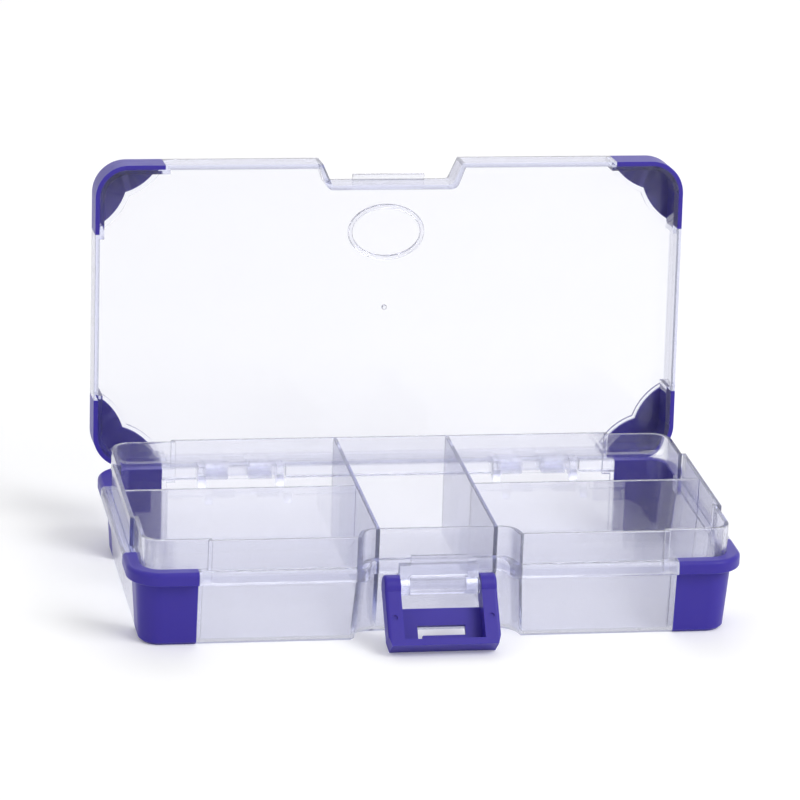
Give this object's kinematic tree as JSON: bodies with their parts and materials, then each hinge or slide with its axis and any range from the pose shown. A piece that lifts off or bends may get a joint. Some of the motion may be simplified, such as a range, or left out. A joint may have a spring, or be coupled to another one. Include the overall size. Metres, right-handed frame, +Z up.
{
  "type": "compartment storage box",
  "caption": "Clear lidded storage box with divided compartments, corner guards, a rear hinge and a front latch.",
  "frame": {"origin": "middle of the tub's plan on the table that it stands on, under the tub's centre", "axes": "+X along the length to the right, +Y to the hinge at the rear, +Z up; the latch faces -Y"},
  "size_m": [0.18, 0.1265, 0.1141],
  "materials": {
    "clear_plastic": "clear moulded polypropylene with a faint blue-violet tint",
    "blue_plastic": "satin blue-violet plastic"
  },
  "bodies": {
    "base": {"base_tub": "clear_plastic", "base_guard_front_left": "blue_plastic", "base_guard_front_right": "blue_plastic", "base_guard_rear_left": "blue_plastic", "base_guard_rear_right": "blue_plastic"},
    "lid": {"lid": "clear_plastic", "lid_guard_front_left": "blue_plastic", "lid_guard_front_right": "blue_plastic", "lid_guard_rear_left": "blue_plastic", "lid_guard_rear_right": "blue_plastic"},
    "latch": {"latch": "blue_plastic"}
  },
  "joints": [
    {"name": "lid_hinge", "type": "hinge", "parent": "base", "child": "lid", "pos_m": [0, 0.0473, 0.02085], "axis": [1, 0, 0], "range_deg": [0, 94.8]},
    {"name": "latch_pivot", "type": "hinge", "parent": "base", "child": "latch", "pos_m": [0, -0.0432, 0.0166], "axis": [-1, 0, 0], "range_deg": [0, 139.92]}
  ]
}
